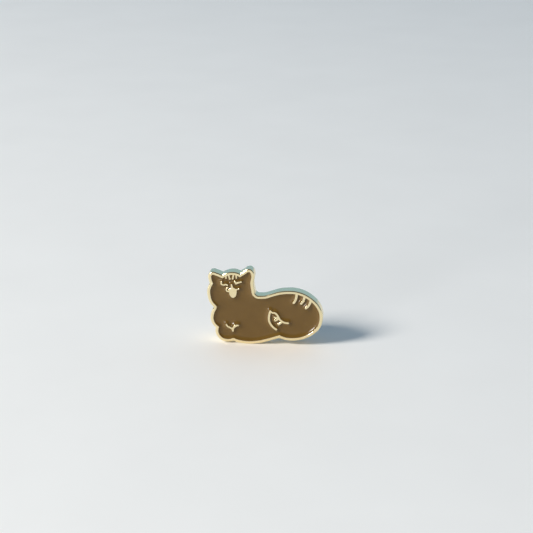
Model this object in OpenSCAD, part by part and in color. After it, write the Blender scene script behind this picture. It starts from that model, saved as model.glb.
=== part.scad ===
// Enamel pin: a die-struck metal plate shaped as a resting animal, with one
// field of soft enamel between raised metal lines, and two nail posts on the
// back that two butterfly clutches push onto.
// Frame: +X to the right as seen from the front, +Z up, the front faces -Y. The
// flat back face lies in the plane Y = 0, and the origin is midway between the posts.

/* [Plate] */
// Width of the whole pin
pin_w = 27.8; // [26.5:0.1:32]
// Thickness of the metal plate
plate_t = 2.5; // [1.8:0.1:3]
// Width of the raised rim around the enamel, with its rounded shoulder
rim_w = 0.75; // [0.6:0.05:0.85]
// Depth of the recess that holds the enamel
recess_d = 0.9; // [0.5:0.05:1.2]
// Height of the metal lines above the enamel
line_proud = 0.3; // [0.1:0.05:0.4]

/* [Posts] */
// Distance between the two posts
post_spacing = 13; // [12:0.1:13.5]
// Diameter of a post
post_d = 1.2; // [1:0.05:1.3]
// Reach of a post behind the back face
post_reach = 6.5; // [6:0.1:6.6]

/* [Clutches] */
// Room for cloth between the back face and a clutch
grip_gap = 2.2; // [2.1:0.1:2.4]
// Diameter of a clutch dish
dish_d = 10.4; // [9:0.1:11]
// Thickness of the clutch's sheet metal
sheet_t = 0.3; // [0.2:0.05:0.35]

/* [Hidden] */
$fn = 48;
left = -1;
right = 1;
overrun = 0.5;          // how far a cutter reaches past what it cuts

// ---- the drawing, in millimetres at a width of 27.8 ----
drawn_w = 27.8;
drawn_rise = 0.06;      // what the drawing rises to the right, for each millimetre
shoulder_w = 0.05;      // how far the side wall stands outside the drawn outline
steps = 4;              // straight pieces between two drawn points
cap_steps = 6;          // straight pieces round the end of a line
sharpest = 1.5;         // 1 and the cosine of the widest turn that keeps its full mitre

// The outline runs clockwise. Each stretch is smooth, and the stretches meet
// in notches: beside the ears, under the chin, and round the paw and haunch.
left_ear = [[-13.25, 9.6], [-13.55, 10.6], [-13.6, 11.6], [-13.25, 12.25],
    [-12.5, 12.5], [-11.6, 12.2], [-10.3, 11.6]];
forehead = [[-10.3, 11.6], [-9.5, 12], [-8.5, 12.28], [-7.7, 12.32],
    [-6.9, 12.18], [-6.05, 11.8]];
right_ear = [[-6.05, 11.8], [-5.1, 12.4], [-4.3, 12.9], [-3.55, 12.95],
    [-2.9, 12.35], [-2.55, 11.2], [-2.8, 9.4]];
neck = [[-2.6, 7.7], [-2.35, 6.6], [-1.85, 6.15], [-1.05, 6.05], [0.05, 6.1]];
back_line = [[1.6, 6.55], [3.5, 7.05], [5.45, 7.2], [7.35, 7.05], [9.4, 6.35],
    [11.2, 5.15], [12.75, 3.5], [13.7, 1.5], [13.85, -0.4]];
haunch = [[13.25, -2.5], [11.7, -4.15], [9.3, -5.35], [6.9, -5.7],
    [4.95, -5.5], [3.5, -4.95]];
belly = [[3.5, -4.95], [1.6, -5.5], [-1.05, -6.15], [-3.7, -6.35],
    [-5.85, -6.1], [-7.7, -5.5]];
paw = [[-7.7, -5.5], [-9.2, -5.7], [-10.5, -5.35], [-11.5, -4.4],
    [-12.05, -3.05], [-11.95, -1.95]];
chest = [[-11.95, -1.95], [-12.75, -1], [-13.2, 0.45], [-12.95, 2.1], [-12.3, 3.4]];
cheek = [[-12.3, 3.4], [-13.2, 4.4], [-13.8, 6.1], [-13.85, 8.1], [-13.25, 9.6]];
STRETCHES = [left_ear, forehead, concat(right_ear, neck, back_line, haunch),
    belly, paw, chest, cheek];

// Raised lines: [width at the start, width at the end, points]
EYES = [
    [0.4, 0.42, [[-10.5, 9.85], [-10.45, 9.3], [-9.85, 9.1], [-9.4, 9.2], [-9.05, 9]]],
    [0.46, 0.5, [[-7.2, 9.8], [-7.05, 9.65], [-6.9, 9.42]]],
    [0.5, 0.4, [[-6.95, 9.4], [-6.4, 9.62], [-5.75, 9.78]]],
];
NOSE_AND_MOUTH = [
    [0.38, 0.45, [[-8.05, 9.1], [-8, 8.75], [-7.9, 8.4]]],
    [0.34, 0.38, [[-8.92, 8.34], [-9.2, 8.2], [-9.3, 7.85], [-9.12, 7.5],
        [-8.75, 7.38], [-8.4, 7.42]]],
    [0.42, 0.32, [[-7.6, 8.1], [-7.1, 7.9], [-6.7, 7.85], [-6.3, 8]]],
];
FOREHEAD_STRIPES = [
    [0.38, 0.36, [[-9.35, 11.8], [-9.35, 11.2], [-9.35, 10.8]]],
    [0.38, 0.4, [[-8.75, 11.9], [-8.6, 11.1], [-8.4, 10.6]]],
    [0.38, 0.38, [[-7.55, 11.9], [-7.65, 11.1], [-7.75, 10.6]]],
    [0.36, 0.36, [[-6.95, 11.8], [-6.9, 11.3], [-6.85, 10.8]]],
];
BACK_STRIPES = [
    [0.6, 0.56, [[7.6, 6.8], [7.5, 5.5], [7.3, 4.8], [6.9, 4.15]]],
    [0.6, 0.56, [[9.5, 6.1], [9.4, 5.2], [9.15, 4.55], [8.7, 3.95]]],
    [0.6, 0.56, [[11.1, 5], [10.8, 4], [10.45, 3.3], [9.85, 2.75]]],
];
PAW_LINES = [
    [0.42, 0.45, [[-9.35, -1.25], [-9.1, -1.65], [-8.55, -1.98], [-7.9, -2.4]]],
    [0.45, 0.45, [[-7.75, -2.2], [-7.8, -2.6], [-7.8, -2.9]]],
    [0.45, 0.62, [[-7.8, -2.4], [-7.55, -1.95], [-7.15, -1.6]]],
    [0.6, 0.42, [[-7.2, -1.65], [-6.85, -1.5], [-6.5, -1.5]]],
];
HAUNCH_LINES = [
    [0.5, 0.5, [[1.3, 2.1], [1.05, 1.2], [0.95, 0.3], [1.05, -0.6], [1.45, -1.4],
        [2, -2.1], [2.75, -2.7]]],
    [0.45, 0.5, [[1.3, 2.1], [1.8, 1.7], [2.4, 1.6], [2.85, 1.2], [3.25, 0.5],
        [3.6, -0.15], [4.15, -0.65], [4.9, -1], [5.6, -1.1]]],
    [0.5, 0.5, [[3.3, 0.3], [2.8, 0.3], [2.35, 0.45]]],
    [0.5, 0.5, [[3.25, 0.15], [2.9, -0.2], [2.45, -0.35]]],
    [0.5, 0.55, [[4.15, -0.65], [3.75, -1.05], [3.3, -1.35]]],
];
LINES = concat(EYES, NOSE_AND_MOUTH, FOREHEAD_STRIPES, BACK_STRIPES, PAW_LINES,
    HAUNCH_LINES);

// The tongue is a raised pad. Its sides and tip are smooth, its top is pointed.
tongue_sides = [[-8.75, 7.95], [-8.7, 7.3], [-8.45, 6.4], [-8.05, 5.85], [-7.6, 5.7],
    [-7.2, 5.95], [-6.9, 6.6], [-6.8, 7.45], [-6.7, 7.9]];
tongue_top = [[-7.3, 8.2], [-7.9, 8.6]];

// ---- curves ----
function chord(p, i) = norm(p[i + 1] - p[i]);
function slope(p, i) = (p[i + 1] - p[i]) / chord(p, i);
function inner_tangent(p, i) = let (a = chord(p, i - 1), b = chord(p, i))
    (slope(p, i - 1) * b + slope(p, i) * a) / (a + b);
function tangent(p, i) =
    i == 0 ? 2 * slope(p, 0) - inner_tangent(p, 1)
    : i == len(p) - 1 ? 2 * slope(p, i - 1) - inner_tangent(p, i - 1)
    : inner_tangent(p, i);

// A point on the cubic between points i and i + 1, for t from 0 to 1
function between(p, i, t) =
    let (a = tangent(p, i) * chord(p, i), b = tangent(p, i + 1) * chord(p, i))
    p[i] * (1 + 2 * t) * (1 - t) * (1 - t) + p[i + 1] * t * t * (3 - 2 * t)
        + a * t * (1 - t) * (1 - t) - b * t * t * (1 - t);

// The smooth line through all the points, without its last point
function smooth_open(p) =
    [for (i = [0 : len(p) - 2], k = [0 : steps - 1]) between(p, i, k / steps)];
function smooth(p) = concat(smooth_open(p), [p[len(p) - 1]]);

function unit(v) = v / norm(v);
function turned_right(v) = [v.y, -v.x];

// Moves each corner of a clockwise closed line inward, so that every side
// moves by w. The sharpest corners move less, which leaves them blunt.
function inset(p, w) = [
    for (i = [0 : len(p) - 1])
    let (
        before = p[(i + len(p) - 1) % len(p)],
        after = p[(i + 1) % len(p)],
        a = turned_right(unit(p[i] - before)),
        b = turned_right(unit(after - p[i]))
    )
    p[i] + w * (a + b) / max(1 + a * b, sharpest)
];

// The right-hand normal at each point of an open line
function normals(p) = [
    for (i = [0 : len(p) - 1])
    turned_right(unit(p[min(i + 1, len(p) - 1)] - p[max(i - 1, 0)]))
];

// Both sides of an open line, as one closed outline
function ribbon(p, half) = let (n = normals(p), last = len(p) - 1) concat(
    [for (i = [0 : last]) p[i] + half[i] * n[i]],
    [for (i = [last : -1 : 0]) p[i] - half[i] * n[i]]
);

// Half a turn round a point, from start to its opposite, with the ends left out
function half_turn(centre, radius, start) = [
    for (k = [1 : cap_steps - 1])
    let (a = start + 180 * k / cap_steps)
    centre + radius * [cos(a), sin(a)]
];

// A raised line with round ends
function line_outline(line) =
    let (
        p = smooth(line[2]),
        n = normals(p),
        last = len(p) - 1,
        half = [for (i = [0 : last]) (line[0] + (line[1] - line[0]) * i / last) / 2],
        sides = ribbon(p, half),
        end_angle = atan2(n[last].y, n[last].x),
        start_angle = atan2(n[0].y, n[0].x) + 180
    )
    concat(
        [for (i = [0 : last]) sides[i]],
        half_turn(p[last], half[last], end_angle),
        [for (i = [last + 1 : len(sides) - 1]) sides[i]],
        half_turn(p[0], half[0], start_angle)
    );

art_scale = pin_w / drawn_w;
function to_size(p) = [for (q = p) art_scale * [q.x, q.y + drawn_rise * q.x]];
drawn_outline = to_size([for (stretch = STRETCHES) each smooth_open(stretch)]);
outline = inset(drawn_outline, -shoulder_w);
field = inset(drawn_outline, rim_w - shoulder_w);
tongue = to_size(concat(smooth(tongue_sides), tongue_top));

// ---- places ----
enamel_floor = plate_t - recess_d;
enamel_top = plate_t - line_proud;
dimple_r = 1.7;         // struck in the back to seat the post and its solder
dimple_d = 0.15;

post_r = post_d / 2;
post_head_r = 1.2;
post_head_top = 0.25;
post_point = 1.2;       // length of the sharpened end
point_r = 0.08;
groove_r = 0.45;        // the groove that the jaws close over
groove_low = 3;
groove_high = 3.7;
groove_slope = 0.15;
solder_top = 0.6;

running_gap = 0.06;     // between a post and what slides on it
dish_r = dish_d / 2;
dish_hole_r = post_r + running_gap;
dish_top = grip_gap + sheet_t;
dish_rim_h = 0.9;
dish_curl_r = 0.6;

cap_half_x = 2.7;
cap_half_z = 2.2;
cap_corner_r = 0.5;
cap_h = 3;
cap_top = dish_top + cap_h;
nipple_r = 1.15;        // the raised knob that covers the tip of the post
nipple_h = 1.6;
nipple_round = 0.5;
window_low = dish_top + 1.85;
window_high = cap_top - sheet_t;
window_half = 1.3;
hinge_x = cap_half_x - sheet_t / 2;
hinge_level = dish_top + 2.38;
trunnion_r = 0.2;       // the round bar on a wing that turns in the cap's slots
trunnion_half = 1.6;
slot_room = 0.05;

jaw_gap = post_r + 0.04;
jaw_half = 1;
wing_half = 1.9;
wing_reach = 5.1;
wing_corner_r = 1.2;
wing_base = 3.1;        // where the wing is at its full width
// The bent strip of a wing: distance from the post's axis, distance above the dish
wing_bends = [[jaw_gap, 0.85], [1, 0.85], [1.35, 0.95], [1.5, 1.3], [1.52, 1.8],
    [1.7, 2.2], [2.1, 2.35], [2.7, 2.4], [3.1, 2.6], [3.7, 3.15], [4.4, 3.75],
    [5.3, 4.15]];

spring_r = 0.15;
spring_x = 1.83;        // centre of the wire, outside the legs of the wings
spring_z = 1.45;
spring_corner_r = 0.5;
spring_gap = 0.35;
spring_level = dish_top + 1.45;

gold = [0.93, 0.88, 0.70];
brown_enamel = [0.44, 0.35, 0.22];
clutch_brass = [0.86, 0.80, 0.62];
solder_grey = [0.74, 0.73, 0.70];

// ---- helpers ----
// Draws in the plane of the plate, from one depth in front of the back face to
// another
module struck(from, to) {
    rotate([90, 0, 0]) translate([0, 0, from]) linear_extrude(to - from) children();
}

// Turns local Z into the distance behind the back face, on the axis of a post
module on_post(side) {
    translate([side * post_spacing / 2, 0, 0]) rotate([-90, 0, 0]) children();
}

module raised_lines() {
    polygon(tongue);
    for (line = LINES) polygon(to_size(line_outline(line)));
}

module field_without_lines() {
    difference() {
        polygon(field);
        raised_lines();
    }
}

module rounded_rectangle(half_x, half_y, r) {
    square([2 * half_x, 2 * (half_y - r)], center = true);
    square([2 * (half_x - r), 2 * half_y], center = true);
    for (x = [-1, 1], y = [-1, 1])
        translate([x * (half_x - r), y * (half_y - r)]) circle(r);
}

// ---- the pin ----
module base_plate() {
    color(gold) difference() {
        struck(0, plate_t) polygon(outline);
        struck(enamel_floor, plate_t + overrun) field_without_lines();
        for (side = [left, right])
            on_post(side) translate([0, 0, -dimple_d])
                cylinder(r = dimple_r, h = dimple_d + overrun);
    }
}

module enamel() {
    color(brown_enamel) struck(enamel_floor, enamel_top) field_without_lines();
}

module post(side) {
    color(gold) on_post(side) rotate_extrude() polygon([
        [0, -dimple_d], [post_head_r, -dimple_d], [post_head_r, post_head_top],
        [post_r, post_head_top], [post_r, groove_low],
        [groove_r, groove_low + groove_slope], [groove_r, groove_high - groove_slope],
        [post_r, groove_high], [post_r, post_reach - post_point],
        [point_r, post_reach], [0, post_reach],
    ]);
}

module solder(side) {
    color(solder_grey) on_post(side) rotate_extrude() polygon([
        [post_head_r, -dimple_d], [dimple_r, -dimple_d], [dimple_r, 0],
        [1.45, 0.1], [1.3, 0.28], [1.05, 0.36], [0.8, 0.42], [post_r, solder_top],
        [post_r, post_head_top], [post_head_r, post_head_top],
    ]);
}

// ---- a clutch ----
module clutch_dish(side) {
    rim_top = grip_gap + dish_rim_h;
    flat_r = dish_r - dish_curl_r;
    color(clutch_brass) on_post(side) rotate_extrude() {
        translate([dish_hole_r, grip_gap]) square([flat_r - dish_hole_r, sheet_t]);
        translate([flat_r, grip_gap + dish_curl_r]) intersection() {
            difference() {
                circle(dish_curl_r);
                circle(dish_curl_r - sheet_t);
            }
            translate([0, -dish_curl_r]) square(dish_curl_r);
        }
        translate([dish_r - sheet_t, grip_gap + dish_curl_r])
            square([sheet_t, rim_top - grip_gap - dish_curl_r]);
    }
}

module cap_shell(half_x, half_z, r, low, high) {
    translate([0, 0, low]) linear_extrude(high - low)
        rounded_rectangle(half_x, half_z, r);
}

module nipple() {
    rotate_extrude() {
        square([nipple_r, nipple_h - nipple_round]);
        square([nipple_r - nipple_round, nipple_h]);
        translate([nipple_r - nipple_round, nipple_h - nipple_round])
            circle(nipple_round);
    }
}

module clutch_cap(side) {
    inner_x = cap_half_x - sheet_t;
    inner_z = cap_half_z - sheet_t;
    color(clutch_brass) on_post(side) difference() {
        union() {
            cap_shell(cap_half_x, cap_half_z, cap_corner_r, dish_top, cap_top);
            translate([0, 0, cap_top]) nipple();
        }
        cap_shell(inner_x, inner_z, cap_corner_r - sheet_t, dish_top - overrun,
            cap_top - sheet_t);
        translate([0, 0, dish_top])
            cylinder(r = nipple_r - sheet_t, h = cap_h + nipple_h - sheet_t);
        translate([0, 0, (window_low + window_high) / 2])
            cube([2 * cap_half_x + overrun, 2 * window_half, window_high - window_low],
                center = true);
        translate([0, 0, hinge_level])
            cube([2 * cap_half_x + overrun, 2 * (trunnion_half + slot_room),
                2 * (trunnion_r + slot_room)], center = true);
    }
}

// The plan of a wing, seen along the post: narrow jaw, wide rounded wing
module wing_plan() {
    translate([0, -jaw_half]) square([wing_base, 2 * jaw_half]);
    translate([wing_base, -wing_half])
        square([wing_reach - wing_corner_r - wing_base, 2 * wing_half]);
    translate([wing_base, wing_corner_r - wing_half])
        square([wing_reach - wing_base, 2 * (wing_half - wing_corner_r)]);
    for (y = [-1, 1])
        translate([wing_reach - wing_corner_r, y * (wing_half - wing_corner_r)])
            circle(wing_corner_r);
}

module clutch_wing(side, way) {
    bends = smooth(wing_bends);
    strip = ribbon(bends, [for (p = bends) sheet_t / 2]);
    color(clutch_brass) on_post(side) mirror([way == left ? 1 : 0, 0, 0]) {
        intersection() {
            translate([0, 0, dish_top]) rotate([90, 0, 0])
                linear_extrude(2 * wing_half + overrun, center = true) polygon(strip);
            linear_extrude(cap_top + wing_reach) wing_plan();
        }
        translate([hinge_x, 0, hinge_level]) rotate([90, 0, 0])
            cylinder(r = trunnion_r, h = 2 * trunnion_half, center = true);
    }
}

// A wire clip that presses the two jaws onto the post
module clutch_spring(side) {
    straight_x = spring_x - spring_corner_r;
    straight_z = spring_z - spring_corner_r;
    color(solder_grey) on_post(side) translate([0, 0, spring_level]) {
        for (x = [-1, 1]) {
            translate([x * spring_x, 0, 0]) rotate([90, 0, 0])
                cylinder(r = spring_r, h = 2 * straight_z, center = true);
            translate([x * (straight_x + spring_gap) / 2, spring_z, 0]) rotate([0, 90, 0])
                cylinder(r = spring_r, h = straight_x - spring_gap, center = true);
            for (y = [-1, 1])
                translate([x * straight_x, y * straight_z, 0])
                    rotate([0, 0, y > 0 ? (x > 0 ? 0 : 90) : (x > 0 ? 270 : 180)])
                        rotate_extrude(angle = 90)
                            translate([spring_corner_r, 0]) circle(spring_r);
        }
        translate([0, -spring_z, 0]) rotate([0, 90, 0])
            cylinder(r = spring_r, h = 2 * straight_x, center = true);
    }
}

base_plate();
enamel();
post(left);  // left_post
post(right);  // right_post
solder(left);  // left_solder
solder(right);  // right_solder
clutch_dish(left);  // left_clutch_dish
clutch_cap(left);  // left_clutch_cap
clutch_spring(left);  // left_clutch_spring
clutch_wing(left, left);  // left_clutch_wing_left
clutch_wing(left, right);  // left_clutch_wing_right
clutch_dish(right);  // right_clutch_dish
clutch_cap(right);  // right_clutch_cap
clutch_spring(right);  // right_clutch_spring
clutch_wing(right, left);  // right_clutch_wing_left
clutch_wing(right, right);  // right_clutch_wing_right
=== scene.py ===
"""The looks of the enamel pin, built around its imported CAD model.

Mesh code works in millimetres. Points on the plate are (x, z) as seen from the front, with a
height measured from the flat back face towards the viewer.
"""
import math

import bmesh
import bpy
import numpy as np
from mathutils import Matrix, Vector, noise
from mathutils.geometry import delaunay_2d_cdt


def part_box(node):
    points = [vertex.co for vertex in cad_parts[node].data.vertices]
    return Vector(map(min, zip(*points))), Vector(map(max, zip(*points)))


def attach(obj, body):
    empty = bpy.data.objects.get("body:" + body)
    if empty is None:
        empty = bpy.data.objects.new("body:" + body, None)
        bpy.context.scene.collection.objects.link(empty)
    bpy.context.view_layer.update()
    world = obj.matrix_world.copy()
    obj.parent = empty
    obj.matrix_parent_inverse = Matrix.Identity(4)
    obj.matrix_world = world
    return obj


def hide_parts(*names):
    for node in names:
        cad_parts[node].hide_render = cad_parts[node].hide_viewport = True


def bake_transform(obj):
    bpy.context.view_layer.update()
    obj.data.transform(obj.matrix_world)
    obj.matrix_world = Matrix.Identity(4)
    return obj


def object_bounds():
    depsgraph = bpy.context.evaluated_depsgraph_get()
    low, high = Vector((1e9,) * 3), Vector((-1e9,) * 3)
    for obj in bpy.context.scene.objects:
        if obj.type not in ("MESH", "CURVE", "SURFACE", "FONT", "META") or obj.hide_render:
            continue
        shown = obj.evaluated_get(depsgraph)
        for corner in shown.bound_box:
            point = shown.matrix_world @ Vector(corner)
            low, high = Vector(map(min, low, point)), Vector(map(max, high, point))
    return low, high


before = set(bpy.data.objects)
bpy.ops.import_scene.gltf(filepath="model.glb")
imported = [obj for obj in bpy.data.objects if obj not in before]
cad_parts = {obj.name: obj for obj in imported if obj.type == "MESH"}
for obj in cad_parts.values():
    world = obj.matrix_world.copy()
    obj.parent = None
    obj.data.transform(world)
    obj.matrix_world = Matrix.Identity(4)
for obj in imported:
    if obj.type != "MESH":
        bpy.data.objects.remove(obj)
cad_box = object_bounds()

MM = 0.001
WAYS = {"left": -1, "right": 1}  # along x

# ---- sizes read from the frame, in millimetres ----
PLATE_T = -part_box("base_plate")[0].y / MM
FIELD_FLOOR = -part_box("enamel")[1].y / MM
ENAMEL_LEVEL = -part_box("enamel")[0].y / MM
POST_X = {s: sum(c.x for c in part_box(f"{s}_post")) / 2 / MM for s in ("left", "right")}
DIMPLE_R = (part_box("left_solder")[1].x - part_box("left_solder")[0].x) / 2 / MM
DIMPLE_D = -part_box("left_solder")[0].y / MM
SOLDER_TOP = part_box("left_solder")[1].y / MM
HEAD_R = (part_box("left_post")[1].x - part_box("left_post")[0].x) / 2 / MM
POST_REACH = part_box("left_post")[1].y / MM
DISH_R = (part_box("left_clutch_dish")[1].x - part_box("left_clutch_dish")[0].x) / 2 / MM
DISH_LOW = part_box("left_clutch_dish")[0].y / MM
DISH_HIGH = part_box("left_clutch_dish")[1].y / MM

# ---- finish of the struck metal and the enamel, in millimetres ----
OUTER_ROUND = 0.3        # rounded shoulder between the rim and the side wall
INNER_ROUND = 0.05       # rounded edge of the lines, down to the enamel
BACK_ROUND = 0.12        # rounded edge between the side wall and the back
MENISCUS_TOP = 0.03      # where the enamel meets a line, below the line's top
MENISCUS_LENGTH = 0.6    # how far out it sinks
SINK = 0.2               # depth of its middle, below the flat level of the CAD
RIPPLE = 0.006           # height of the waves in the enamel
RIPPLE_SIZE = 2.6
PEBBLE = 0.02            # height of the grains on the sandy back
PEBBLE_SIZE = 0.5
PEBBLE_FADE = 0.5        # how far in from its edges the back reaches full height

# ---- the posts, the solder and the clutches, in millimetres; heights are from the back face ----
POST_R = 0.6
POST_HEAD_TOP = 0.25
POST_POINT = 1.2         # length of the sharpened end
POINT_R = 0.08
GROOVE_D = 0.15          # depth of the groove, and length of each of its slopes
GROOVE_LOW = 3
GROOVE_HIGH = 3.7
SOLDER_SLOPE = (1.45, 0.1), (1.3, 0.28), (1.05, 0.36), (0.8, 0.42)  # radius, height
SOLDER_LUMP = 0.12       # how much its radius varies
LUMPS = 1.3              # for each millimetre of solder
SHEET_T = 0.3
DISH_HOLE_R = 0.66
DISH_CURL_R = 0.6
DISH_RING = (3.5, 0), (3.62, 0.05), (3.86, 0.05), (3.98, 0)  # a pressed ring: radius, rise

# ---- how finely the surfaces are meshed, in millimetres ----
LONGEST = 0.13           # longest side of a boundary line
OUTER_RINGS = 7          # rows of points across each rounded edge
INNER_RINGS = 4
BACK_RINGS = 4
ENAMEL_RINGS = 0.03, 0.09, 0.16, 0.24, 0.33, 0.43, 0.54, 0.67, 0.82, 1
ENAMEL_SPACING = 0.36
ENAMEL_CLEAR = 0.025     # least distance from a free point to a boundary line
SAND_SPACING = PEBBLE_SIZE / 3
SAND_CLEAR = 0.08
RING_SHARE = 0.97        # a ring's point nearer a line than this share of its distance is left out
DIMPLE_SIDES = 48
POST_SIDES = 64
DISH_SIDES = 96
CURL_STEPS = 8
BEND_POINTS = 5          # points across each rounded corner of a profile
BEND_SHARE = 0.45        # the most of a side that a rounded corner takes up
CHUNK = 1500             # points worked on at a time

CORNER = math.radians(40)  # a wider turn than this is a sharp corner
FLAT = math.radians(0.5)   # faces with a smaller turn between them are one face
MITRE = 2                  # the most that a mitre lengthens an offset
TOUCHING = 1e-7            # metres
INSIDE = 1                 # tells delaunay_2d_cdt to keep what its lines enclose
SAND_SLICE, RIPPLE_SLICE = 0.5, 1.5  # third coordinates, for noise over the plane


# ---- plane curves ----
def unit(v):
    return v / np.maximum(np.linalg.norm(v, axis=-1, keepdims=True), 1e-12)


def turned_left(v):
    return np.stack([-v[..., 1], v[..., 0]], axis=-1)


def plane_loops(node, y):
    """Closed boundary lines of a node's faces in the plane at y, as (x, z) arrays.
    Seen from the front the faces lie to the left of each line."""
    mesh = bmesh.new()
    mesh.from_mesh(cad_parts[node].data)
    bmesh.ops.remove_doubles(mesh, verts=mesh.verts, dist=TOUCHING)
    # a list, because a set of faces has another order in each run
    flat = [f for f in mesh.faces if all(abs(v.co.y - y) < TOUCHING for v in f.verts)]
    chosen = set(flat)
    after = {}
    for face in flat:
        for corner in face.loops:
            if not any(f in chosen for f in corner.edge.link_faces if f != face):
                after[corner.vert] = corner.link_loop_next.vert
    loops = []
    while after:
        vert, following = after.popitem()
        loop = [vert]
        while following != loop[0]:
            loop.append(following)
            following = after.pop(following)
        loops.append(np.array([(v.co.x, v.co.z) for v in loop]) / MM)
    mesh.free()
    return loops


def area(loop):
    x, z = loop.T
    return 0.5 * float(np.sum(x * np.roll(z, -1) - z * np.roll(x, -1)))


def refined(loop):
    """The closed line on a smooth curve, cut into sides of at most LONGEST. Corners stay sharp."""
    side = np.roll(loop, -1, axis=0) - loop
    length = np.linalg.norm(side, axis=1)
    ahead = side / length[:, None]
    behind = np.roll(ahead, 1, axis=0)
    turn = np.arccos(np.clip(np.sum(ahead * behind, axis=1), -1, 1))
    before = np.roll(length, 1)
    smooth = (behind * length[:, None] + ahead * before[:, None]) / (length + before)[:, None]
    leaving = np.where(turn[:, None] > CORNER, ahead, smooth)
    arriving = np.where(turn[:, None] > CORNER, behind, smooth)
    points = []
    for i in range(len(loop)):
        j = (i + 1) % len(loop)
        pieces = max(1, math.ceil(length[i] / LONGEST))
        for t in np.arange(pieces) / pieces:
            points.append(
                loop[i] * (1 + 2 * t) * (1 - t) ** 2 + loop[j] * t * t * (3 - 2 * t)
                + leaving[i] * length[i] * t * (1 - t) ** 2
                - arriving[j] * length[i] * t * t * (1 - t)
            )
    return np.array(points)


def left_normals(loop):
    """The unit normal to the left at each point, and how much longer a mitre is there."""
    side = unit(np.roll(loop, -1, axis=0) - loop)
    ahead = turned_left(side)
    both = unit(ahead + np.roll(ahead, 1, axis=0))
    stretch = 1 / np.maximum(np.sum(both * ahead, axis=1), 1 / MITRE)
    return both, stretch


def shifted(loop, distance):
    normals, stretch = left_normals(loop)
    return loop + normals * (stretch * distance)[:, None]


def nearest(points, loops):
    """Distance from each point to the closest of the lines, and the direction away from it."""
    start = np.concatenate(loops)
    end = np.concatenate([np.roll(loop, -1, axis=0) for loop in loops])
    side = end - start
    squared = np.sum(side * side, axis=1)
    distance, away = np.empty(len(points)), np.empty((len(points), 2))
    for first in range(0, len(points), CHUNK):
        part = points[first:first + CHUNK]
        to = part[:, None, :] - start[None]
        t = np.clip(np.sum(to * side, axis=2) / squared, 0, 1)
        gap = to - t[..., None] * side
        size = np.sum(gap * gap, axis=2)
        best = np.argmin(size, axis=1)
        rows = np.arange(len(part))
        distance[first:first + CHUNK] = np.sqrt(size[rows, best])
        away[first:first + CHUNK] = gap[rows, best]
    return distance, unit(away)


def lattice(loops, spacing):
    """Points of a triangular lattice over the box of the lines."""
    everything = np.concatenate(loops)
    low, high = everything.min(0), everything.max(0)
    rows = []
    for k, z in enumerate(np.arange(low[1], high[1], spacing * math.sqrt(3) / 2)):
        x = np.arange(low[0] + (k % 2) * spacing / 2, high[0], spacing)
        rows.append(np.stack([x, np.full_like(x, z)], axis=1))
    return np.concatenate(rows)


def within(points, loops):
    """True for each point that an odd number of the lines encloses."""
    start = np.concatenate(loops)
    end = np.concatenate([np.roll(loop, -1, axis=0) for loop in loops])
    inside = np.empty(len(points), bool)
    for first in range(0, len(points), CHUNK):
        x, z = points[first:first + CHUNK].T[..., None]
        spans = (start[:, 1] > z) != (end[:, 1] > z)
        rise = np.where(end[:, 1] == start[:, 1], 1, end[:, 1] - start[:, 1])
        crossing = start[:, 0] + (z - start[:, 1]) / rise * (end[:, 0] - start[:, 0])
        inside[first:first + CHUNK] = np.sum(spans & (crossing > x), axis=1) % 2 == 1
    return inside


def fill(loops, inner):
    """Triangles between closed lines, by even and odd nesting, with the inner points used too.
    Returns the points, the triangles and the places of each line's own points."""
    coords = [Vector(p) for loop in loops for p in loop] + [Vector(p) for p in inner]
    edges, first = [], 0
    for loop in loops:
        edges += [(first + i, first + (i + 1) % len(loop)) for i in range(len(loop))]
        first += len(loop)
    made = delaunay_2d_cdt(coords, edges, [], INSIDE, 1e-6)
    place = {before: after for after, befores in enumerate(made[3]) for before in befores}
    places, first = [], 0
    for loop in loops:
        places.append([place[first + i] for i in range(len(loop))])
        first += len(loop)
    points, faces = np.array([tuple(p) for p in made[0]]), np.array([tuple(f) for f in made[2]])
    return points, faces[within(points[faces].mean(axis=1), loops)], places


# ---- meshes ----
class Shell:
    """Points with normals, and faces, gathered patch by patch into one mesh."""

    def __init__(self):
        self.points, self.normals, self.faces = [], [], []

    def add(self, flat, height, slope=None, toward=None):
        """Adds points on the plate. A normal tips from +height by slope, in the direction toward."""
        first = len(self.points)
        height = np.broadcast_to(height, len(flat))
        slope = np.zeros(len(flat)) if slope is None else np.broadcast_to(slope, len(flat))
        toward = np.zeros((len(flat), 2)) if toward is None else toward
        rise = np.cos(slope)
        lean = np.sin(slope)[:, None] * toward
        for (x, z), h, (nx, nz), nh in zip(flat, height, lean, rise):
            self.points.append((x, -h, z))
            self.normals.append((nx, -nh, nz))
        return list(range(first, first + len(flat)))

    def ribbon(self, low, high):
        """Quads between two closed rows of points, facing to the right of low's direction."""
        for i in range(len(low)):
            j = (i + 1) % len(low)
            self.faces.append((low[i], low[j], high[j], high[i]))

    def piece(self, name, made):
        """The mesh as a new object, held inside the CAD model's box."""
        low, high = np.array(cad_box)
        mesh = bpy.data.meshes.new(name)
        mesh.from_pydata(np.clip(np.array(self.points) * MM, low, high), [], self.faces)
        mesh.materials.append(made)
        mesh.shade_smooth()
        mesh.normals_split_custom_set_from_vertices(self.normals)
        obj = bpy.data.objects.new(name, mesh)
        bpy.context.scene.collection.objects.link(obj)
        return obj


def edge_round(distance, radius):
    """Drop below the top, and the slope, at a distance from a rounded edge."""
    share = np.clip(1 - distance / radius, 0, 1)
    return radius * (1 - np.sqrt(1 - share ** 2)), np.arcsin(share)


def ring_distances(radius, count):
    return [radius * (1 - math.cos(math.pi / 2 * k / count)) for k in range(1, count + 1)]


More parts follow.
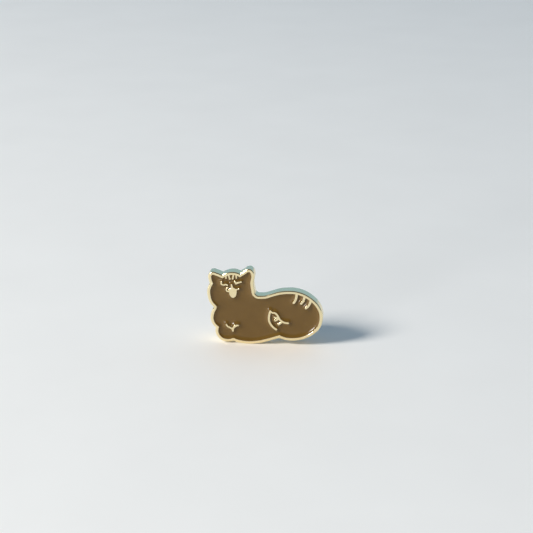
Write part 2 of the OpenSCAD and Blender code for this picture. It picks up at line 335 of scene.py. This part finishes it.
def ring_points(loop, side, distances, all_loops):
    """Rows of points beside a line, without those that come too near another line."""
    rows = []
    for distance in distances:
        row = shifted(loop, side * distance)
        gap, _ = nearest(row, all_loops)
        rows.append(row[gap > RING_SHARE * distance])
    return np.concatenate(rows)


def struck_plate(outline, field, lines):
    """The whole metal plate as one closed shell."""
    shell = Shell()
    row = plate_front(shell, outline, [field] + lines)
    row = side_wall(shell, outline, row)
    sandy_back(shell, shifted(outline, BACK_ROUND), row)
    return shell


def plate_front(shell, outline, inner):
    """The top of the rim and lines, and the recess. Returns the row of points on the outline."""
    loops = [outline] + inner
    extra = [ring_points(outline, 1, ring_distances(OUTER_ROUND, OUTER_RINGS), loops)]
    for loop in inner:
        extra.append(ring_points(loop, 1, ring_distances(INNER_ROUND, INNER_RINGS), loops))
    flat, faces, places = fill(loops, np.concatenate(extra))
    out_gap, out_away = nearest(flat, [outline])
    in_gap, in_away = nearest(flat, inner)
    out_away[places[0]] = left_normals(outline)[0]
    for loop, place in zip(inner, places[1:]):
        in_away[place] = left_normals(loop)[0]
    drop_out, slope_out = edge_round(out_gap, OUTER_ROUND)
    drop_in, slope_in = edge_round(in_gap, INNER_ROUND)
    toward = np.where((slope_out > slope_in)[:, None], -out_away, -in_away)
    top = shell.add(flat, PLATE_T - drop_out - drop_in, slope_out + slope_in, toward)
    shell.faces += [[top[i] for i in face] for face in faces]

    # the recess: its floor, then its walls
    flat, faces, floor_places = fill(inner, np.empty((0, 2)))
    floor = shell.add(flat, FIELD_FLOOR)
    shell.faces += [[floor[i] for i in face] for face in faces]
    for place, floor_place in zip(places[1:], floor_places):
        shell.ribbon([floor[i] for i in floor_place], [top[i] for i in place])
    return [top[i] for i in places[0]]


def side_wall(shell, outline, row):
    """The wall under a row of points, rounded into the back. Returns its lowest row of points."""
    outward = -left_normals(outline)[0]
    for k in range(BACK_RINGS + 1):
        angle = math.pi / 2 * k / BACK_RINGS
        inward = BACK_ROUND * (1 - math.cos(angle))
        height = BACK_ROUND * (1 - math.sin(angle))
        below = shell.add(shifted(outline, inward), height, math.pi / 2 + angle, outward)
        shell.ribbon(below, row)
        row = below
    return row


def sandy_back(shell, edge, row):
    """The back, with a dimple round each post. Its edge uses the points of the row."""
    turn = np.arange(DIMPLE_SIDES) * 2 * math.pi / DIMPLE_SIDES
    circles = [
        np.stack([x + DIMPLE_R * np.cos(turn), DIMPLE_R * np.sin(turn)], axis=1)
        for x in POST_X.values()
    ]
    sand = lattice([edge], SAND_SPACING)
    gap, _ = nearest(sand, [edge] + circles)
    flat, faces, places = fill([edge] + circles, sand[gap > SAND_CLEAR])
    gap, _ = nearest(flat, [edge] + circles)
    fade = np.clip(gap / PEBBLE_FADE, 0, 1)
    height, slope = sandy(flat)
    steepness = np.linalg.norm(slope, axis=1)
    back = shell.add(flat, height * fade, math.pi - np.arctan(steepness * fade), unit(slope))
    for mine, other in zip(places[0], row):
        back[mine] = other
    shell.faces += [[back[i] for i in reversed(face)] for face in faces]
    for circle, place in zip(circles, places[1:]):
        seat = shell.add(circle, DIMPLE_D, math.pi)
        shell.ribbon(seat, [back[i] for i in place])
        shell.faces.append(list(reversed(seat)))


def sandy(flat):
    """Relief of the back, small rounded grains pressed into the metal: its height and slope."""
    def relief(shift):
        return np.array([noise.noise(Vector((*p, SAND_SLICE))) for p in (flat + shift) / PEBBLE_SIZE])

    here, step = relief((0, 0)), PEBBLE_SIZE / 10
    slope = np.stack([relief((step, 0)) - here, relief((0, step)) - here], axis=1) / step
    return PEBBLE * (1 + here), PEBBLE * slope


def enamel_field(field, lines):
    """The enamel as one closed shell, with its meniscus up the lines."""
    loops = [field] + lines
    extra = [lattice([field], ENAMEL_SPACING)]
    for loop in loops:
        extra.append(ring_points(loop, -1, ENAMEL_RINGS, loops))
    extra = np.concatenate(extra)
    gap, _ = nearest(extra, loops)
    flat, faces, places = fill(loops, extra[gap > ENAMEL_CLEAR])
    gap, away = nearest(flat, loops)
    for loop, place in zip(loops, places):
        away[place] = -left_normals(loop)[0]
    fall = np.exp(-gap / MENISCUS_LENGTH)
    drop = PLATE_T - MENISCUS_TOP - ENAMEL_LEVEL + SINK
    height = ENAMEL_LEVEL - SINK + drop * fall
    slope = np.arctan(drop / MENISCUS_LENGTH * fall)
    shell = Shell()
    ripple = np.array([
        RIPPLE * noise.noise(Vector((x / RIPPLE_SIZE, z / RIPPLE_SIZE, RIPPLE_SLICE)))
        for x, z in flat
    ])
    top = shell.add(flat, height + ripple * (1 - fall), slope, away)
    shell.faces += [[top[i] for i in face] for face in faces]
    bottom = [
        shell.add(flat[place], FIELD_FLOOR, math.pi / 2, -away[place]) for place in places
    ]
    for place, row in zip(places, bottom):
        shell.ribbon([top[i] for i in place], row)
    under, under_faces, under_places = fill(loops, np.empty((0, 2)))
    low = {}
    for place, row in zip(under_places, bottom):
        low.update(zip(place, row))
    shell.faces += [[low[i] for i in reversed(face)] for face in under_faces]
    return shell


# ---- parts turned round a post, and sheet metal ----
# A profile is a closed line of (radius, distance behind the back face) points in millimetres,
# and it runs so that the metal is to its left.
def nail_profile():
    """The post, with a flat head, a groove for the jaws and a point."""
    return [
        (0, -DIMPLE_D), (HEAD_R, -DIMPLE_D), (HEAD_R, POST_HEAD_TOP), (POST_R, POST_HEAD_TOP),
        (POST_R, GROOVE_LOW), (POST_R - GROOVE_D, GROOVE_LOW + GROOVE_D),
        (POST_R - GROOVE_D, GROOVE_HIGH - GROOVE_D), (POST_R, GROOVE_HIGH),
        (POST_R, POST_REACH - POST_POINT), (POINT_R, POST_REACH), (0, POST_REACH),
    ]


def fillet_profile():
    """The solder, which fills the dimple round a post's head and runs up its shank."""
    return [
        (HEAD_R, -DIMPLE_D), (DIMPLE_R, -DIMPLE_D), (DIMPLE_R, 0), *SOLDER_SLOPE,
        (POST_R, SOLDER_TOP), (POST_R, POST_HEAD_TOP), (HEAD_R, POST_HEAD_TOP),
    ]


def dish_profile():
    """A sheet with a hole, a pressed ring and a curled edge."""
    def curl(radius):
        turns = [math.pi / 2 * k / CURL_STEPS for k in range(CURL_STEPS + 1)]
        x, y = DISH_R - DISH_CURL_R, DISH_LOW + DISH_CURL_R
        return [(x + radius * math.sin(turn), y - radius * math.cos(turn)) for turn in turns]

    def across(height):
        return [(DISH_HOLE_R, height)] + [(radius, height + rise) for radius, rise in DISH_RING]

    outside = across(DISH_LOW) + curl(DISH_CURL_R) + [(DISH_R, DISH_HIGH)]
    inside = across(DISH_LOW + SHEET_T) + curl(DISH_CURL_R - SHEET_T)
    inside.append((DISH_R - SHEET_T, DISH_HIGH))
    return outside + inside[::-1]


def rounded(profile, radius):
    """The profile with each corner off the axis cut by a short curve."""
    profile = np.array(profile, float)
    points = []
    for before, here, after in zip(np.roll(profile, 1, 0), profile, np.roll(profile, -1, 0)):
        if here[0] == 0:
            points.append(here)
            continue
        shorter = min(np.linalg.norm(before - here), np.linalg.norm(after - here))
        reach = min(radius, shorter * BEND_SHARE)
        start, end = here + unit(before - here) * reach, here + unit(after - here) * reach
        for t in np.linspace(0, 1, BEND_POINTS):
            points.append(start * (1 - t) ** 2 + here * 2 * t * (1 - t) + end * t * t)
    return np.array(points)


def turned(name, side, profile, made, sides=POST_SIDES, lump=0):
    """A body of revolution round a post. Behind the back face, lumps vary its radius."""
    ahead = np.roll(profile, -1, axis=0) - profile
    out = -turned_left(ahead)
    shade = unit(out + np.roll(out, 1, axis=0))
    shell = Shell()
    count = len(profile)
    for k in range(sides):
        angle = 2 * math.pi * k / sides
        cosine, sine = math.cos(angle), math.sin(angle)
        for (radius, y), (lean, rise) in zip(profile, shade):
            if lump and y > 0:
                spot = Vector((cosine * radius * LUMPS, sine * radius * LUMPS, side == "left"))
                radius += lump * noise.noise(spot)
            shell.points.append((POST_X[side] + radius * cosine, y, radius * sine))
            shell.normals.append((lean * cosine, rise, lean * sine))
    for k in range(sides):
        here, there = k * count, (k + 1) % sides * count
        for i in range(count):
            j = (i + 1) % count
            shell.faces.append((here + i, here + j, there + j, there + i))
    piece = shell.piece(name, made)
    if profile[:, 0].min() == 0:
        mesh = bmesh.new()
        mesh.from_mesh(piece.data)
        bmesh.ops.remove_doubles(mesh, verts=mesh.verts, dist=TOUCHING)
        mesh.to_mesh(piece.data)
        mesh.free()
    return piece


def finished(node, name, made, bevel=0):
    """A copy of a node's mesh with its flat faces made whole and, if asked, its edges rounded."""
    mesh = bmesh.new()
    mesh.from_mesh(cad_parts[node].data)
    bmesh.ops.remove_doubles(mesh, verts=mesh.verts, dist=TOUCHING)
    bmesh.ops.dissolve_limit(mesh, angle_limit=FLAT, verts=mesh.verts, edges=mesh.edges)
    if bevel:
        sharp = [e for e in mesh.edges if len(e.link_faces) == 2 and e.calc_face_angle() > CORNER]
        bmesh.ops.bevel(mesh, geom=sharp, offset=bevel * MM, offset_type="OFFSET",
                        segments=3, profile=0.5, affect="EDGES", clamp_overlap=True)
    data = bpy.data.meshes.new(name)
    mesh.to_mesh(data)
    mesh.free()
    data.materials.append(made)
    data.shade_smooth()
    obj = bpy.data.objects.new(name, data)
    bpy.context.scene.collection.objects.link(obj)
    if bevel:
        obj.modifiers.new("shading", "WEIGHTED_NORMAL").keep_sharp = True
    return obj


# ---- materials ----
FACTOR, FIRST, SECOND, MIXED = 0, 6, 7, 2  # sockets of a node that mixes colours


def material(name, **values):
    """A material, with values for its shader's sockets."""
    made = bpy.data.materials.new(name)
    made.use_nodes = True
    shader = made.node_tree.nodes["Principled BSDF"]
    for key, value in values.items():
        shader.inputs[key.replace("_", " ")].default_value = value
    return made


def node(made, kind, links=(), **values):
    """A node of that kind. Links join one of its inputs to an output."""
    new = made.node_tree.nodes.new(kind)
    for key, value in values.items():
        setattr(new, key, value)
    for place, source in links:
        if isinstance(source, bpy.types.NodeSocket):
            made.node_tree.links.new(source, new.inputs[place])
        else:
            new.inputs[place].default_value = source
    return new


def grain(made, size, detail=3.0, stretch=(1, 1, 1)):
    """Noise with features of that size in millimetres, longer along the stretched axes."""
    coord = node(made, "ShaderNodeTexCoord").outputs["Object"]
    scale = [1 / (size * MM * s) for s in stretch]
    mapped = node(made, "ShaderNodeMapping", [("Vector", coord), ("Scale", scale)]).outputs[0]
    links = [("Vector", mapped), ("Scale", 1.0), ("Detail", detail)]
    return node(made, "ShaderNodeTexNoise", links).outputs["Fac"]


def ranged(made, value, source, target):
    """Maps a value from the source range to the target range, and holds it inside."""
    return node(made, "ShaderNodeMapRange", [
        ("Value", value), ("From Min", source[0]), ("From Max", source[1]),
        ("To Min", target[0]), ("To Max", target[1])]).outputs[0]


def spread(made, value, low, high):
    """Maps noise, which lies mostly from 0.3 to 0.7, to a range."""
    return ranged(made, value, (0.3, 0.7), (low, high))


def mixed(made, share, first, second):
    """A colour between two colours."""
    links = [(FACTOR, share), (FIRST, (*first, 1)), (SECOND, (*second, 1))]
    return node(made, "ShaderNodeMix", links, data_type="RGBA").outputs[MIXED]


def tint(made, value, dark, light):
    """Mixes two colours by noise, into the base colour."""
    shader = made.node_tree.nodes["Principled BSDF"]
    colour = mixed(made, spread(made, value, 0, 1), dark, light)
    made.node_tree.links.new(colour, shader.inputs["Base Color"])


def rough(made, value, low, high):
    """Maps noise to a range of roughness."""
    shader = made.node_tree.nodes["Principled BSDF"]
    made.node_tree.links.new(spread(made, value, low, high), shader.inputs["Roughness"])


def bumps(made, *layers):
    """Relief from (height source, strength, depth in millimetres) layers."""
    normal = None
    for height, strength, depth in layers:
        links = [("Height", height), ("Strength", strength), ("Distance", depth * MM)]
        if normal:
            links.append(("Normal", normal))
        normal = node(made, "ShaderNodeBump", links).outputs[0]
    shader = made.node_tree.nodes["Principled BSDF"]
    made.node_tree.links.new(normal, shader.inputs["Normal"])


def gold():
    made = material("gold_plating", Metallic=1.0)
    tint(made, grain(made, 1.4), (0.93, 0.79, 0.48), (0.98, 0.86, 0.55))
    rough(made, grain(made, 0.5), 0.1, 0.2)
    # shear marks run round the side wall, along its edges, and fade where it rounds off
    normal = node(made, "ShaderNodeNewGeometry").outputs["Normal"]
    facing = node(made, "ShaderNodeSeparateXYZ", [(0, normal)]).outputs["Y"]
    flatness = node(made, "ShaderNodeMath", [(0, facing)], operation="ABSOLUTE").outputs[0]
    wall = ranged(made, flatness, (0.5, 0.1), (0.0, 0.7))
    fine = grain(made, 0.1, detail=2.0)
    shear = grain(made, 0.16, stretch=(12, 1, 12))
    bumps(made, (fine, 0.05, 0.01), (shear, wall, 0.035))
    return made


def enamel_paint():
    made = material("brown_enamel", Specular_IOR_Level=0.4)
    tint(made, grain(made, 2.5, detail=4.0), (0.115, 0.0655, 0.014), (0.128, 0.0735, 0.017))
    rough(made, grain(made, 0.9), 0.09, 0.15)
    bumps(made, (grain(made, 1.4, detail=1.0), 0.08, 0.02))
    return made


def solder():
    made = material("solder", Metallic=1.0)
    tint(made, grain(made, 0.5), (0.56, 0.53, 0.46), (0.74, 0.71, 0.62))
    rough(made, grain(made, 0.3), 0.28, 0.5)
    bumps(made, (grain(made, 0.35, detail=4.0), 0.5, 0.04))
    return made


def stamped_brass():
    made = material("clutch_brass", Metallic=1.0)
    tint(made, grain(made, 1.8), (0.8, 0.6, 0.3), (0.9, 0.72, 0.4))
    rough(made, grain(made, 0.7), 0.2, 0.34)
    bumps(made, (grain(made, 0.12, detail=2.0, stretch=(1, 1, 8)), 0.25, 0.015))
    return made


def drawn_wire():
    made = material("spring_wire", Metallic=1.0)
    tint(made, grain(made, 0.8), (0.52, 0.52, 0.52), (0.68, 0.67, 0.65))
    rough(made, grain(made, 0.2), 0.22, 0.4)
    bumps(made, (grain(made, 0.08, detail=2.0), 0.2, 0.01))
    return made


# ---- build ----
SLOTS = {
    "gold_plating": gold(), "brown_enamel": enamel_paint(), "solder": solder(),
    "clutch_brass": stamped_brass(), "spring_wire": drawn_wire(),
}


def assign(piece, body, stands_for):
    """Says which body a piece moves with and which node it replaces."""
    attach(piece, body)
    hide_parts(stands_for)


def half_clip(side, way):
    """Half of the wire clip."""
    clutch, outward = f"{side}_clutch", Vector((WAYS[way], 0, 0))
    middle = Vector((POST_X[side] * MM, 0, 0))
    piece = finished(f"{clutch}_spring", f"{clutch}_wire_spring_{way}", SLOTS["spring_wire"])
    mesh = bmesh.new()
    mesh.from_mesh(piece.data)
    cut = bmesh.ops.bisect_plane(mesh, geom=mesh.verts[:] + mesh.edges[:] + mesh.faces[:],
                                 plane_co=middle, plane_no=outward, clear_inner=True)
    rim = [e for e in cut["geom_cut"] if isinstance(e, bmesh.types.BMEdge)]
    bmesh.ops.edgenet_fill(mesh, edges=rim)
    mesh.to_mesh(piece.data)
    mesh.free()
    piece.data.set_sharp_from_angle(angle=CORNER)
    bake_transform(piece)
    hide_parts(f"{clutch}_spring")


def build_plate():
    # the recess is the widest hole, so its line comes first, and the outline comes last
    loops = [refined(loop) for loop in sorted(plane_loops("base_plate", -PLATE_T * MM), key=area)]
    field, *lines, outline = loops
    plate = struck_plate(outline, field, lines)
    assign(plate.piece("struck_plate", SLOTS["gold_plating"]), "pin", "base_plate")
    paint = enamel_field(field, lines)
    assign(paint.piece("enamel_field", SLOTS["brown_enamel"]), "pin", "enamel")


def build_post(side):
    profile = rounded(nail_profile(), radius=0.06)
    assign(turned(f"{side}_nail_post", side, profile, SLOTS["gold_plating"]),
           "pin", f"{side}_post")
    profile = rounded(fillet_profile(), radius=0.08)
    assign(turned(f"{side}_solder_fillet", side, profile, SLOTS["solder"], lump=SOLDER_LUMP),
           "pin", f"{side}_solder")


def build_clutch(side):
    clutch, brass = f"{side}_clutch", SLOTS["clutch_brass"]
    profile = rounded(dish_profile(), radius=0.05)
    assign(turned(f"{clutch}_stamped_dish", side, profile, brass, DISH_SIDES),
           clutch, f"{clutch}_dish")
    assign(finished(f"{clutch}_cap", f"{clutch}_folded_cap", brass, bevel=0.08),
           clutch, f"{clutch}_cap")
    for way in WAYS:
        wing = f"{clutch}_wing_{way}"
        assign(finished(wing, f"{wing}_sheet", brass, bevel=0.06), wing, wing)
        half_clip(side, way)


build_plate()
for side in POST_X:
    build_post(side)
    build_clutch(side)

# ---- floor, lights, camera ----
AZIMUTH, ELEVATION = 6, 21     # degrees to the right of the front, and above it
DISTANCE = 0.3585              # metres
AIM = 0.00011, 0.01184         # metres to the camera's right, and up
LENS = 100                     # millimetres
FLOOR_SIZE = 8                 # metres

bpy.ops.mesh.primitive_plane_add(size=FLOOR_SIZE, location=(0, 0, cad_box[0].z))
floor = bpy.context.object
floor.name = "floor"
paper = material("floor", Roughness=0.6)
tint(paper, grain(paper, 30.0), (0.88, 0.865, 0.85), (0.9, 0.885, 0.87))
floor.data.materials.append(paper)


def area_light(name, toward, distance, size, power, colour=(1, 1, 1)):
    """A round soft light, shining at the pin from that direction. Sizes are in metres."""
    light = bpy.data.lights.new(name, "AREA")
    light.shape, light.size, light.energy, light.color = "DISK", size, power, colour
    obj = bpy.data.objects.new(name, light)
    bpy.context.scene.collection.objects.link(obj)
    direction = Vector(toward).normalized()
    obj.location = direction * distance
    obj.rotation_mode = "QUATERNION"
    obj.rotation_quaternion = direction.to_track_quat("Z", "Y")
    obj.visible_camera = False


area_light("key", (-0.72, -0.42, 0.55), distance=1.8, size=0.63, power=39, colour=(1, 0.95, 0.88))
area_light("glint", (-0.53, -0.84, 0.105), distance=0.8, size=0.16, power=1.7)


def sky(world):
    """Pale blue behind the pin, as from a card, and dim in front of it."""
    direction = node(world, "ShaderNodeTexCoord").outputs["Generated"]
    behind = node(world, "ShaderNodeSeparateXYZ", [(0, direction)]).outputs["Y"]
    share = ranged(world, behind, (-0.15, 0.45), (0, 1))
    colour = mixed(world, share, (0.12, 0.1, 0.075), (0.31, 0.5, 0.68))
    world.node_tree.links.new(colour, world.node_tree.nodes["Background"].inputs["Color"])


world = bpy.data.worlds.new("studio")
bpy.context.scene.world = world
world.use_nodes = True
sky(world)

camera = bpy.data.objects.new("camera", bpy.data.cameras.new("camera"))
bpy.context.scene.collection.objects.link(camera)
bpy.context.scene.camera = camera
camera.data.lens = LENS
camera.data.clip_start = 0.01
turn, tilt = math.radians(AZIMUTH), math.radians(ELEVATION)
toward = Vector((math.sin(turn) * math.cos(tilt), -math.cos(turn) * math.cos(tilt), math.sin(tilt)))
basis = toward.to_track_quat("Z", "Y").to_matrix()
camera.location = basis @ Vector((*AIM, DISTANCE))
camera.rotation_mode = "QUATERNION"
camera.rotation_quaternion = basis.to_quaternion()

bpy.context.scene.view_settings.view_transform = "Standard"
